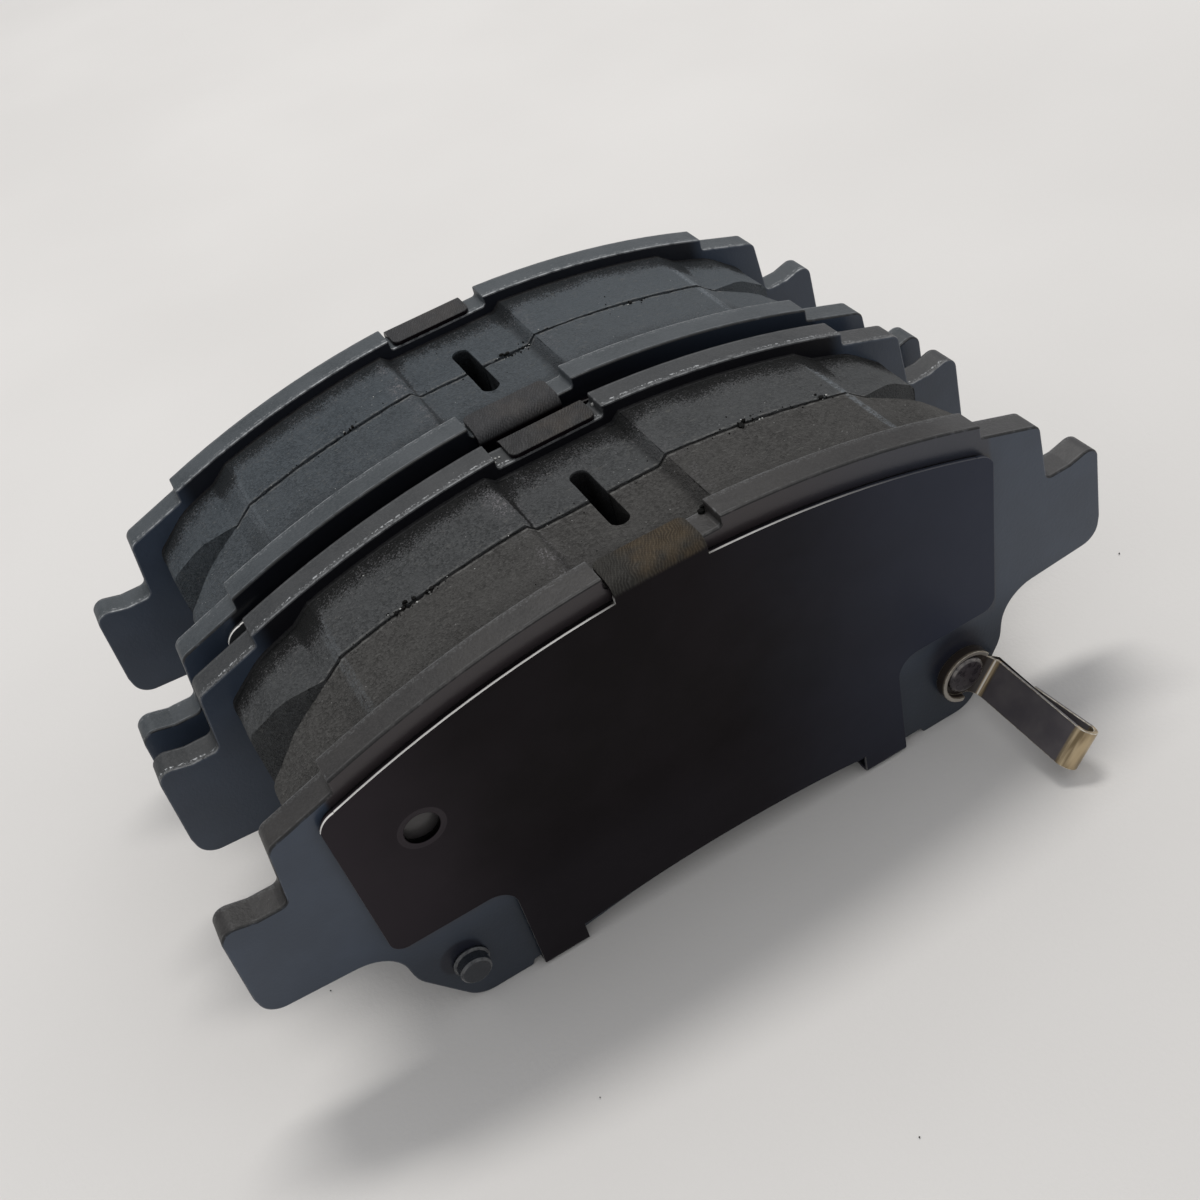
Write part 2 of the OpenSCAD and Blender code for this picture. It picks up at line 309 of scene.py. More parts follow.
# Paint of the flat faces: lighter and bluer than the edges' paint, partly the faces' own coating and partly
# painted light, standing in for the floor's light and the sheen on them.
FACE_PAINT_AND_SHEEN = (0.040, 0.054, 0.080)
BARE_STEEL_AND_GLINT = (0.40, 0.41, 0.42)
DARK_PATCH = (0.008, 0.009, 0.016)
HOLE_FLOOR = (0.045, 0.042, 0.042)
FRICTION = (0.038, 0.036, 0.033)
FRICTION_IN_BLUE_LIGHT = (0.041, 0.053, 0.064)
FIBRE = (0.12, 0.118, 0.11)
SPECK = (0.34, 0.34, 0.33)
CREASE_FROST = (0.17, 0.162, 0.17)
STEP_HIGHLIGHT = (0.18, 0.20, 0.22)
LIP_DUST = (0.17, 0.168, 0.16)
MIST_FLECK = (0.15, 0.145, 0.15)
SHIM_REFLECTION_LEFT = (0.023, 0.018, 0.022)
SHIM_REFLECTION_LOW = (0.014, 0.012, 0.015)
SHIM_REFLECTION_RIGHT = (0.033, 0.038, 0.056)
SHIM_RING = (0.045, 0.038, 0.042)
SHEARED_EDGE_GLINT = (0.80, 0.78, 0.75)

# Places, in millimetres. Heights are above the floor and depths are from a plate's outer face.
ARCH_RADIUS = 160
SHEAR_DEPTH = 4.0
OUTER_RIM = (0.46, 0.56)
INNER_RIM = (4.58, 4.74)
SHIM_END = 54
SHIM_SIDE_LEVEL = (43, 47)
STRIP_UNDER_ARCH = (-5.5, -4.2)
BLOCK_START = 5.8
BLOCK_DEPTH = 14
CREASE_X = 10.7
END_STEP = (43.1, 44.0)
END_HOLLOW = (43.6, 46.4)
SLOT_HALF_WIDTH = 1.62
SLOT_TOP = 63.0
TAB_HALF_WIDTH = 7.4
TAB_DROP = 4.2
TAB_FOOT = 60
RIDGE_PITCH = 0.44
HOLE_OFF_CENTRE = 43.3
HOLE_HEIGHT = 43
HOLE_WALL = 2.9
EYELET_WALL = 1.6
EYELET_TOP = 1.97
LEG_END = 20.3


def local_depth(s, pad):
    """Distance from the plate's outer face towards the friction block, in millimetres."""
    y0, facing = plate_back(pad)
    return s.times(s.minus(s.y, y0), facing)


def outward(s, pad):
    """Distance out from the plate's outer face, away from the friction block, in millimetres."""
    return s.times(local_depth(s, pad), -1)


def radius_from_arch(s, pad):
    """How far a point lies outside the plate's arched top edge, in millimetres (negative inside)."""
    top = mm_box(pad + "_plate")[1].z
    return s.minus(s.length(s.x, s.minus(s.z, top - ARCH_RADIUS)), ARCH_RADIUS)


def dark_patch_above(s, node, lift, inner, outer):
    """Dark patch on the plate above a rivet or stud, used as the stud's painted shadow: full within inner mm
    of its middle, gone at outer mm.
    """
    lo, hi = mm_box(node)
    across = s.minus(s.x, (lo.x + hi.x) / 2 - 1.0)
    rise = s.minus(s.z, (lo.z + hi.z) / 2 + lift)
    return s.times(s.fall(s.length(across, rise), inner, outer), 0.92)


def edge_paint(s, look, patches):
    """Paint on a plate's narrow edges: mottled and gritty, paler towards the right on the far pads as a
    painted sheen, and paler at the right shoulder of the near pads.
    """
    light = lerp(PAINT_LIGHT, PALE_PAINT_IN_BLUE_LIGHT, look["blue_light_tint"])
    colour = s.mix(patches, lerp(PAINT, PAINT_IN_BLUE_LIGHT, look["blue_light_tint"]), light)
    grit = s.smooth(s.noise(0.42, 3, 0.7), 0.36, 0.66)
    colour = s.mix(s.times(grit, 0.6), colour, lerp(light, WHITE, 0.014))
    # Painted sheen: the far pads' edges paler towards the right.
    far_side_sheen = s.times(s.smooth(s.x, -25, 35), look["blue_light_tint"], 0.35)
    colour = s.mix(far_side_sheen, colour, lerp(light, WHITE, 0.03))
    shoulder = s.times(s.smooth(s.x, 42, 54), 0.6 * (1.0 - look["blue_light_tint"]))
    return s.mix(shoulder, colour, PAINT_SHOULDER)


def face_paint(s, pad, patches, depth):
    """Paint on a plate's flat faces, with painted shade low down, in the narrow gap above the shim and on the
    inner face above the block, a painted shadow above the stud and a dark patch above the rivet.
    """
    look = PADS[pad]
    side = s.abs(s.x)
    inside_arch = radius_from_arch(s, pad)
    colour = s.mix(patches, lerp(FACE_PAINT_AND_SHEEN, BLACK, 0.15), FACE_PAINT_AND_SHEEN)
    # Painted shade low down on the face, which looks onto the shadowed floor.
    low = s.times(s.fall(s.z, 13, 25), 0.62)
    colour = s.mix(low, colour, lerp(FACE_PAINT_AND_SHEEN, BLACK, 0.8))
    # Painted shade where the plate's face shows in the narrow gap above the shim, near black on the far pads;
    # lower down, where the shim's hole shows the plate, a paler grey.
    behind_shim = s.times(s.fall(side, SHIM_END, SHIM_END + 1), s.smooth(s.z, 18, 24), s.fall(depth, 1, 2))
    strip = s.mix(s.smooth(s.x, 10, 48), look["strip"], lerp(look["strip"], FACE_PAINT_AND_SHEEN, 0.45))
    strip = s.mix(s.smooth(inside_arch, *STRIP_UNDER_ARCH), HOLE_FLOOR, strip)
    colour = s.mix(behind_shim, colour, strip)
    # Painted shade on the plate's inner face just above the friction block.
    over_block = s.times(s.fall(side, 50, 54), s.smooth(depth, 4, 4.5), s.smooth(inside_arch, -5.0, -4.0))
    colour = s.mix(s.times(over_block, look["mist_and_shade"]), colour, SHADE_ABOVE_BLOCK)
    if pad + "_rivet" in frame["nodes"]:
        colour = s.mix(dark_patch_above(s, pad + "_rivet", 5.0, 3.5, 7.0), colour, DARK_PATCH)
        # Painted shadow cast upward by the stud.
        colour = s.mix(dark_patch_above(s, pad + "_stud", 1.8, 3.3, 3.9), colour, DARK_PATCH)
    return colour


def bare_steel_and_glints(s, look, depth, worn):
    """Where steel shows on an upper edge: a dotted shear line, a burr and a few specks, with painted
    highlights along the edge's outer and inner corners.
    """
    up = s.smooth(s.nz, 0.25, 0.6)
    waver = s.plus(depth, s.times(s.minus(s.noise(3, 2), 0.5), 0.5))
    dots = s.smooth(s.noise(0.5, 3, 0.6, shift=1), 0.50, 0.60)
    stretch = s.smooth(s.noise(16, 2, shift=2), 0.3, 0.55)
    line = s.times(s.band(waver, SHEAR_DEPTH, SHEAR_DEPTH + 0.2, 0.15), dots, stretch, look["shear_line"])
    # Painted highlights along the top edge's outer and inner corners, stronger on the far pads.
    outer_rim = s.times(s.band(depth, *OUTER_RIM, 0.08), 0.08 + 0.15 * look["blue_light_tint"])
    inner_rim = s.times(s.smooth(depth, *INNER_RIM), 0.18 + 0.50 * look["blue_light_tint"])
    rims = s.times(s.plus(outer_rim, inner_rim), s.smooth(s.noise(1.3, 3, 0.6, shift=7), 0.35, 0.6))
    burr = s.times(s.smooth(waver, 4.1, 4.5), s.smooth(s.noise(0.28, 3, 0.75, shift=6), 0.46, 0.62))
    burr = s.times(burr, 0.10 + 0.22 * look["mist_and_shade"])
    specks = s.times(s.smooth(s.noise(0.5, 2, 0.6, shift=3), 0.71, 0.77), 0.35)
    bright = s.times(s.most(line, rims, specks, burr), up)
    if worn:
        rubbed = s.smooth(s.noise(0.9, 5, 0.75, shift=4), 0.50, 0.66)
        bright = s.most(bright, s.times(rubbed, 0.16))
    return bright


def plate_material(pad, worn):
    """Satin paint. The worn version is for the rounded edges, where it is rubbed through."""
    look = PADS[pad]
    s = Shader(pad + "_plate_" + ("edge" if worn else "paint"), look["seed"])
    depth = local_depth(s, pad)
    patches = s.smooth(s.noise(9, 4), 0.35, 0.65)
    flat = s.smooth(s.abs(s.ny), 0.6, 0.9)
    # The faces take the lighter paint and the edges the darker one, partly a real difference and partly
    # painted light for how the light falls on each.
    colour = s.mix(flat, edge_paint(s, look, patches), face_paint(s, pad, patches, depth))
    shadow_line = s.times(s.smooth(s.nz, 0.02, 0.25), s.fall(depth, 0.20, 0.42))
    shadow_line = s.times(shadow_line, s.smooth(s.noise(1.5, 3), 0.25, 0.5), 0.85)
    colour = s.mix(shadow_line, colour, BLACK)
    bright = s.times(bare_steel_and_glints(s, look, depth, worn), s.minus(1.0, shadow_line))
    colour = s.mix(bright, colour, BARE_STEEL_AND_GLINT)
    rough = s.blend(flat, s.blend(s.noise(1.2, 3), 0.42, 0.6), s.blend(s.noise(6, 3), 0.26, 0.34))
    peel = s.bump(s.noise(0.40, 3, 0.65), 0.08)
    dents = s.bump(s.noise(3.5, 2, shift=5), 0.12, peel)
    normal = s.mix(flat, dents, s.bump(s.noise(0.55, 3, 0.6), 0.03))
    return s.finish(colour, rough, normal, metallic=s.times(bright, 0.6), specular=0.42)


def compound_colour(s, look, base, tone):
    """Friction compound: grains, cloudy patches, pale fibres and a few specks, with a painted sheen that
    makes the far pads paler towards the right.
    """
    colour = s.mix(tone, lerp(base, BLACK, 0.42), lerp(base, WHITE, 0.035))
    # Painted sheen: the far pads' compound paler towards the right.
    far_side_sheen = s.times(s.smooth(s.x, -25, 35), look["blue_light_tint"], 0.5)
    colour = s.mix(far_side_sheen, colour, lerp(base, WHITE, 0.06))
    cloud = s.smooth(s.noise(6, 4, 0.6), 0.35, 0.7)
    colour = s.mix(s.times(cloud, 0.5), colour, lerp(base, WHITE, 0.03))
    fibre = s.noise(0.5, 2, vector=s.stretched((0.35, 1.0, 1.6)))
    colour = s.mix(s.times(s.smooth(fibre, 0.60, 0.70), 0.4), colour, FIBRE)
    spot, odds = s.cells(0.5)
    specks = s.times(s.fall(spot, 0.10, 0.26), s.smooth(odds, 0.98, 0.99), 0.7)
    return s.mix(specks, colour, SPECK)


def block_shade(s, look, depth, on_top, left):
    """Painted shade in the creases, along the seam edge and in the slot of a friction block. The creases'
    painted shade is crisp on the left only.
    """
    side = s.abs(s.x)
    ragged = s.times(s.minus(s.noise(0.8, 3, 0.7), 0.5), 1.1)
    fold = s.abs(s.plus(s.minus(side, CREASE_X), ragged))
    cut = s.fall(s.plus(fold, s.times(depth, 0.04)), 0.60, 0.90)
    crease = s.times(cut, left, on_top, look["crease"])
    groove = s.times(s.fall(fold, 0.3, 1.5), s.minus(1.0, left), on_top, 0.45)
    in_slot = s.fall(side, SLOT_HALF_WIDTH, SLOT_HALF_WIDTH + 0.1)
    in_slot = s.times(in_slot, s.fall(s.z, SLOT_TOP - 0.3, SLOT_TOP), 0.85)
    seam_line = s.times(s.fall(s.minus(BLOCK_DEPTH, depth), 0.24, 0.38), on_top)
    return s.most(crease, groove, seam_line, in_slot)


def frost_and_step_highlight(s, colour, on_top, left):
    """Pale dust beside the creases, and a painted highlight along the step near each end, where its edge
    catches the light.
    """
    side = s.abs(s.x)
    fine = s.smooth(s.noise(0.35, 3, 0.75, shift=2), 0.50, 0.62)
    broad = s.smooth(s.noise(4.0, 2, shift=3), 0.36, 0.56)
    frost = s.times(s.band(side, CREASE_X + 0.5, CREASE_X + 2.3, 2.2), fine, broad, on_top)
    frost = s.times(frost, s.blend(left, 0.3, 0.9))
    colour = s.mix(frost, colour, CREASE_FROST)
    patchy = s.smooth(s.noise(0.5, 4, 0.75, shift=7), 0.38, 0.62)
    # Painted highlight along the edge of the step near each end.
    end_step = s.times(s.band(side, *END_STEP, 0.5), on_top, patchy)
    return s.mix(s.times(end_step, s.blend(left, 0.7, 0.25)), colour, STEP_HIGHLIGHT)


def misted_and_shaded(s, colour, look, depth, on_top, black):
    """Dark band beside the plate, partly black paint overspray and partly painted shade that reaches further
    into the block's hollows, with pale flecks in it.
    """
    side = s.abs(s.x)
    fine = s.times(s.minus(s.noise(0.30, 3, 0.8), 0.5), 15.0)
    broad = s.times(s.minus(s.noise(9, 2, shift=4), 0.5), 6.0)
    hollow = s.plus(s.times(s.band(side, *END_HOLLOW, 1.2), 3.5), s.times(s.band(side, 9.6, 11.4, 1.2), 1.8))
    reach = s.minus(s.plus(s.plus(depth, fine), broad), hollow)
    # Black overspray and painted shade beside the plate.
    colour = s.mix(s.times(s.fall(reach, 2.2, 4.0), look["mist_and_shade"]), colour, black)
    flecks = s.times(s.band(reach, 1.6, 5.0, 1.0), s.smooth(s.noise(0.24, 2, 0.7, shift=9), 0.56, 0.64))
    return s.mix(s.times(flecks, on_top, look["mist_and_shade"], 0.55), colour, MIST_FLECK)


def friction_material(pad):
    """Moulded friction compound on its top: painted shade in the creases, seam and slot, pale dust beside the
    creases, a painted highlight on the end steps, a worn lip, and a dark band of black overspray and painted
    shade beside the plate.
    """
    look = PADS[pad]
    s = Shader(pad + "_friction_compound", look["seed"])
    base = lerp(FRICTION, FRICTION_IN_BLUE_LIGHT, look["blue_light_tint"])
    black = lerp(base, BLACK, 0.88)
    grain, tone = s.cells(0.32)
    depth = s.minus(local_depth(s, pad), BLOCK_START)
    on_top = s.smooth(s.nz, 0.2, 0.5)
    left = s.fall(s.x, -6, 6)
    colour = frost_and_step_highlight(s, compound_colour(s, look, base, tone), on_top, left)
    # Painted shade in the creases, along the seam and in the slot.
    colour = s.mix(block_shade(s, look, depth, on_top, left), colour, black)
    lip = s.band(s.minus(BLOCK_DEPTH, depth), 0.44, 0.7, 0.12)
    patchy = s.smooth(s.noise(1.1, 4, 0.7, shift=8), 0.44, 0.60)
    colour = s.mix(s.times(lip, patchy, on_top, 0.5), colour, LIP_DUST)
    colour = misted_and_shaded(s, colour, look, depth, on_top, black)
    fine = s.bump(s.noise(0.20, 3, 0.75), 0.14)
    grains_bump = s.bump(grain, 0.12, fine)
    lumps = s.bump(s.noise(1.4, 4, 0.65, shift=1), 0.32, grains_bump)
    return s.finish(colour, s.blend(tone, 0.62, 0.9), lumps, specular=0.22)


def shim_corner(s, pad):
    """The upper left corner of a shim, paler grey on one pad, where the painted highlight on its edge also
    runs at full strength.
    """
    start = mm_box(pad + "_shim")[0].x
    return s.times(s.fall(s.x, start + 5, start + 8), s.smooth(s.z, 41, 45), PADS[pad]["corner"])


def shim_face(s, look, from_hole):
    """Near-black coating with painted reflections towards the left, right and lower edges, bluish at the
    right end, and a paler pressed ring.
    """
    cloud = s.times(s.minus(s.noise(16, 3), 0.5), 16.0)
    place = s.plus(s.x, cloud)
    colour = s.mix(s.smooth(s.noise(14, 3), 0.35, 0.65), (0.0028, 0.0014, 0.0022), (0.0052, 0.0032, 0.0046))
    # Painted reflections: paler towards the left, the bottom and the bluish right end.
    colour = s.mix(s.times(s.fall(place, -60, -28), look["cut_edge"]), colour, SHIM_REFLECTION_LEFT)
    colour = s.mix(s.times(s.fall(s.z, 14, 30), 0.5), colour, SHIM_REFLECTION_LOW)
    colour = s.mix(s.times(s.smooth(place, 0, 62), look["cut_edge"]), colour, SHIM_REFLECTION_RIGHT)
    ring = s.band(from_hole, HOLE_WALL, HOLE_WALL + 0.7, 0.15)
    return s.mix(s.times(ring, 0.55), colour, SHIM_RING)


def tab_colour(s, look, off_centre, ridges):
    """Knurled upper tab: worn grey with a brown greasy patch, faintly ridged."""
    # The tab's brown turns grey on the far pads, part of the stand-in for the bluish light on them.
    neutral = min(1.0, look["blue_light_tint"] * 2.2)
    grease = s.times(s.band(off_centre, -1.5, 5.5, 3.0), s.smooth(s.noise(3.5, 3), 0.30, 0.60))
    clean = lerp((0.042, 0.040, 0.036), (0.054, 0.054, 0.056), neutral)
    greasy = lerp((0.070, 0.054, 0.036), (0.066, 0.063, 0.062), neutral)
    faint = s.blend(s.smooth(s.noise(3.0, 2, shift=5), 0.35, 0.62), 0.12, 0.42 - 0.25 * look["blue_light_tint"])
    return s.mix(s.times(s.fall(ridges, -0.5, 0.5), faint), s.mix(grease, clean, greasy), BLACK)


def shim_edge(s, look, tab_z, from_hole, out, corner):
    """Brightness of the sheared edge, bare steel brightened by a painted highlight: strong along the arched
    top, weak below it and on the tab's sides.
    """
    sideways = s.fall(s.abs(s.ny), 0.35, 0.6)
    above = s.smooth(s.z, *SHIM_SIDE_LEVEL)
    arched = s.times(sideways, above, s.fall(s.z, tab_z, tab_z + 0.6), s.smooth(s.nz, 0.1, 0.4))
    arched = s.times(arched, s.smooth(out, 1.08, 1.2), s.blend(s.noise(2.0, 3), 0.75, 1.1))
    far_end = s.blend(s.smooth(s.x, 6, 40), 1.0, 0.10)
    arched = s.times(arched, far_end, s.blend(corner, look["cut_edge"], 1.0))
    beyond_hole = s.smooth(from_hole, HOLE_WALL + 0.4, HOLE_WALL + 0.6)
    lower = s.times(sideways, s.minus(1.0, above), beyond_hole, s.smooth(out, 1.0, 1.2))
    lower = s.times(lower, 0.14 * look["cut_edge"])
    tab_side = s.times(s.smooth(s.abs(s.nx), 0.5, 0.8), s.band(s.z, TAB_FOOT, tab_z + 1.2, 0.6))
    tab_side = s.times(tab_side, s.smooth(out, 0.8, 1.0), 0.45 * look["cut_edge"])
    return s.math("MAXIMUM", s.most(arched, tab_side), lower, clamp=True)


def shim_material(pad):
    """Coated steel: near-black face with painted reflections towards its ends, a sheared top edge bright with
    a painted highlight, a black hole wall as painted shade, knurled tab.
    """
    look = PADS[pad]
    s = Shader(pad + "_shim_coating", look["seed"])
    lo, hi = mm_box(pad + "_shim")
    centre_x = (lo.x + hi.x) / 2
    tab_z = mm_box(pad + "_plate")[1].z - TAB_DROP
    off_centre = s.minus(s.x, centre_x)
    hole_x = centre_x - look["facing"] * HOLE_OFF_CENTRE
    from_hole = s.length(s.minus(s.x, hole_x), s.minus(s.z, HOLE_HEIGHT))
    within_tab = s.fall(s.abs(off_centre), TAB_HALF_WIDTH + 0.15, TAB_HALF_WIDTH + 0.35)
    on_tab = s.times(s.smooth(s.z, tab_z - 1.0, tab_z + 0.6), s.smooth(s.nz, 0.0, 0.35), within_tab)
    ridges = s.hatch(RIDGE_PITCH, s.times(s.noise(2.2, 2), 1.6))
    corner = shim_corner(s, pad)
    colour = s.mix(on_tab, shim_face(s, look, from_hole), tab_colour(s, look, off_centre, ridges))
    colour = s.mix(corner, colour, CORNER_GREY)
    # Painted shade: the wall of the shim's hole is drawn black.
    in_hole = s.times(s.fall(s.abs(s.ny), 0.35, 0.6), s.fall(from_hole, HOLE_WALL, HOLE_WALL + 0.2))
    colour = s.mix(in_hole, colour, BLACK)
    # Bare cut edge, brightened by a painted highlight.
    colour = s.mix(shim_edge(s, look, tab_z, from_hole, outward(s, pad), corner), colour, SHEARED_EDGE_GLINT)
    rough = s.blend(on_tab, s.blend(s.noise(5, 3), 0.26, 0.36), 0.55)
    dimple = s.bump(s.noise(8, 2), 0.10)
    weave = s.bump(s.times(ridges, on_tab), 0.10, dimple)
    pressed_ring = s.bump(s.smooth(from_hole, HOLE_WALL, HOLE_WALL + 0.8), 0.20, weave)
    return s.finish(colour, rough, pressed_ring, specular=0.08)


def rubber_material():
    """Matt black rubber of the liners between plate and shim."""
    s = Shader("liner_rubber")
    colour = s.mix(s.noise(1.5, 3), (0.003, 0.003, 0.004), (0.008, 0.007, 0.007))
    return s.finish(colour, s.blend(s.noise(0.6), 0.7, 0.9), s.bump(s.noise(0.3, 3), 0.05), specular=0.12)


def underlayer_material():
    """Dark compound between a plate and its friction block."""
    s = Shader("underlayer_compound")
    _, tone = s.cells(0.35)
    colour = s.mix(tone, (0.006, 0.006, 0.007), (0.018, 0.018, 0.019))
    return s.finish(colour, 0.8, s.bump(s.noise(0.4, 4, 0.65), 0.15), specular=0.35)


def stud_material(pad, node):
    """Painted stud, with faint painted highlights round its collar and tip."""
    s = Shader(node + "_paint")
    out = outward(s, pad)
    # Painted highlights on the tip's edge and round the collar.
    tip = s.times(s.band(s.abs(s.ny), 0.3, 0.9, 0.1), s.smooth(out, 2.1, 2.3), 0.16)
    collar = s.times(s.band(out, 0.42, 0.7, 0.08), 0.14)
    rim = s.times(s.most(tip, collar), s.smooth(s.noise(0.9, 3), 0.30, 0.62))
    colour = s.mix(s.noise(1.1, 3), (0.008, 0.010, 0.014), (0.018, 0.021, 0.027))
    colour = s.mix(rim, colour, (0.42, 0.42, 0.41))
    return s.finish(colour, s.blend(s.noise(0.8), 0.18, 0.32), s.bump(s.noise(0.5, 3), 0.04), specular=0.6)


def spring_material(pad, node):
    """Plated spring steel: dark smooth leg, painted shade on the eyelet's flat face, brassy painted
    reflections on the bends and a painted highlight on the eyelet rim.
    """
    s = Shader(node + "_plating")
    out = outward(s, pad)
    marks = s.noise(0.55, 3, 0.6, vector=s.stretched((1.0, 0.12, 1.0)))
    across = s.noise(0.9, 2, 0.5, vector=s.stretched((0.1, 1.0, 0.1)))
    stain = s.smooth(s.noise(5.0, 3, 0.5), 0.35, 0.7)
    leg = s.mix(stain, (0.088, 0.080, 0.088), (0.125, 0.114, 0.118))
    # Brassy painted reflection on the bends.
    brass_reflection = s.mix(s.smooth(across, 0.38, 0.62), (0.19, 0.14, 0.078), (0.50, 0.395, 0.25))
    # Painted shade on the eyelet's flat face beside the plate.
    leg = s.mix(s.fall(out, EYELET_WALL - 0.2, EYELET_WALL), leg, (0.018, 0.015, 0.016))
    bends = s.most(s.band(out, EYELET_WALL + 0.05, 2.5, 0.2), s.smooth(out, LEG_END, LEG_END + 0.6))
    # Painted highlight along the top of the eyelet rim.
    rim = s.smooth(out, EYELET_WALL + 0.02, EYELET_WALL + 0.16)
    rim = s.times(rim, s.fall(out, EYELET_TOP - 0.05, EYELET_TOP))
    colour = s.mix(bends, leg, brass_reflection)
    colour = s.mix(s.times(s.fall(out, 2.6, 3.2), 0.35), colour, (0.05, 0.035, 0.022))
    colour = s.mix(rim, colour, (0.54, 0.50, 0.44))
    rough = s.blend(bends, s.blend(marks, 0.28, 0.40), 0.30)
    metallic = s.blend(bends, 0.15, 0.85)
    return s.finish(colour, rough, s.bump(marks, 0.012), metallic=metallic, specular=0.5)


def spring_edge_material(pad, node):
    """Bright sheared edges of the spring strip, with painted shade that dulls them round the eyelet."""
    s = Shader(node + "_edge")
    colour = s.mix(s.smooth(s.noise(0.8, 3), 0.35, 0.65), (0.42, 0.37, 0.29), (0.78, 0.73, 0.63))
    # Painted shade on the eyelet's outer wall.
    colour = s.mix(s.times(s.fall(outward(s, pad), 2.2, 2.8), 0.45), colour, (0.10, 0.075, 0.05))
    return s.finish(colour, s.blend(s.noise(0.6), 0.22, 0.36), s.bump(s.noise(0.3, 2), 0.01), metallic=0.9)


def rivet_material(pad, node):
    """Dark upset rivet head with a thin painted highlight ring at its rim."""
    s = Shader(node + "_steel")
    stain = s.smooth(s.noise(1.2, 4, 0.6), 0.35, 0.65)
    colour = s.mix(stain, (0.020, 0.016, 0.019), (0.045, 0.038, 0.042))
    # Painted highlight round the edge of the head.
    ring = s.times(s.band(s.abs(s.ny), 0.2, 0.85, 0.1), s.smooth(outward(s, pad), 1.2, 1.35))
    ring = s.times(ring, s.smooth(s.noise(1.4, 3), 0.35, 0.6))
    colour = s.mix(s.times(ring, 0.35), colour, (0.50, 0.47, 0.44))
    rough = s.blend(stain, 0.22, 0.40)
    return s.finish(colour, rough, s.bump(s.noise(0.6, 3), 0.05), metallic=s.times(ring, 0.6), specular=0.5)


# ---------------------------------------------------------------- CAD nodes that stay

EDGE_ROUNDING = {"plate": 0.28, "shim": 0.10, "stud": 0.12, "rivet": 0.15, "indicator": 0.12}
WELD_GAP = 0.002
FLAT_ANGLE = math.radians(0.4)
EDGE_ANGLE = math.radians(28)


def dress(node, *materials):
    """Puts materials on a CAD node."""
    obj = frame["nodes"][node]
    obj.data.materials.clear()
    for mat in materials:
        obj.data.materials.append(mat)
    return obj


def soften(obj, kind, worn_slot=-1):
    """Rounds a CAD node's sharp edges, with the material in worn_slot on them."""
    weld = obj.modifiers.new("weld", "WELD")
    weld.merge_threshold = WELD_GAP * MM
    flatten = obj.modifiers.new("flatten", "DECIMATE")
    flatten.decimate_type = "DISSOLVE"
    flatten.angle_limit = FLAT_ANGLE
    bevel = obj.modifiers.new("bevel", "BEVEL")
    bevel.width = EDGE_ROUNDING[kind] * MM
    bevel.segments = 2
    bevel.limit_method = "ANGLE"
    bevel.angle_limit = EDGE_ANGLE
    bevel.use_clamp_overlap = False
    bevel.material = worn_slot
    normals = obj.modifiers.new("normals", "WEIGHTED_NORMAL")
    normals.keep_sharp = True


# ---------------------------------------------------------------- friction blocks

HASH_STEPS = np.array([73856093, 19349663, 83492791])
HASH_SEED = 2654435761
HASH_MIX = 1274126177
SEAM_CUTS = (0.12, 0.3, 0.5, 0.8, 1.2, 1.8, 2.6, 3.6, 4.8, 6.2, 7.8, 9.4, 11, 12.6)
GRID_STEP = 0.4
UPWARD_STEP = 1.5
SMOOTH_ANGLE = math.radians(32)

# Stretches of each seam that are broken away: (middle along X, half width), in millimetres.
SEAM_BREAKS = {
    "front": ((-32, 2.5), (-28, 1.5), (25, 1.5)),
    "second": ((-32, 3.0), (25, 2.0), (39.5, 1.0)),
    "third": ((8, 2.0), (30, 2.0)),
    "rear": ((6, 2.0), (-24, 2.0)),
}


def lattice(points, seed):
    """Smooth value noise between -1 and 1 at an (n, 3) array of points; the lattice step is 1."""
    cell = np.floor(points).astype(np.int64)
    part = points - cell
    part = part * part * (3 - 2 * part)
    total = np.zeros(len(points))
    for corner in range(8):
        step = np.array([corner & 1, corner >> 1 & 1, corner >> 2 & 1])
        key = ((cell + step) * HASH_STEPS).sum(1) + seed * HASH_SEED
        key = (key ^ (key >> 13)) * HASH_MIX & 0xFFFFFFFF
        key = (key ^ (key >> 16)) & 0xFFFF
        weight = np.where(step, part, 1 - part).prod(1)
        total += weight * (key / 32767.5 - 1)
    return total


def mesh_arrays(mesh):
    """Places in millimetres and normals of a mesh's vertices, as (n, 3) arrays."""
    co = np.empty(len(mesh.vertices) * 3)
    mesh.vertices.foreach_get("co", co)
    normal = np.empty(len(mesh.vertices) * 3)
    mesh.vertices.foreach_get("normal", normal)
    return co.reshape(-1, 3) / MM, normal.reshape(-1, 3)


def gridded_copy(node, name, cuts):
    """Copy of a CAD node's shape, cut by planes into small faces. cuts lists (axis, places in mm)."""
    shape = bmesh.new()
    shape.from_mesh(frame["nodes"][node].data)
    bmesh.ops.remove_doubles(shape, verts=shape.verts, dist=WELD_GAP * MM)
    bmesh.ops.dissolve_limit(shape, angle_limit=FLAT_ANGLE, verts=shape.verts, edges=shape.edges)
    for axis, places in cuts:
        normal = Vector((axis == 0, axis == 1, axis == 2))
        for place in places:
            parts = shape.verts[:] + shape.edges[:] + shape.faces[:]
            middle = normal * place * MM
            bmesh.ops.bisect_plane(shape, geom=parts, dist=0.001 * MM, plane_co=middle, plane_no=normal)
    return new_object(name, mesh_from(shape, name))


def friction_cuts(pad):
    """Cutting places: even along X and Z, closer and closer towards the seam along Y."""
    lo, hi = mm_box(pad + "_friction")
    seam = seam_of(pad)
    along = np.arange(lo.x + GRID_STEP, hi.x, GRID_STEP) + 0.013
    upward = np.arange(lo.z + UPWARD_STEP, hi.z, UPWARD_STEP) + 0.017
    return [(0, along), (1, [seam - PADS[pad]["facing"] * depth for depth in SEAM_CUTS]), (2, upward)]


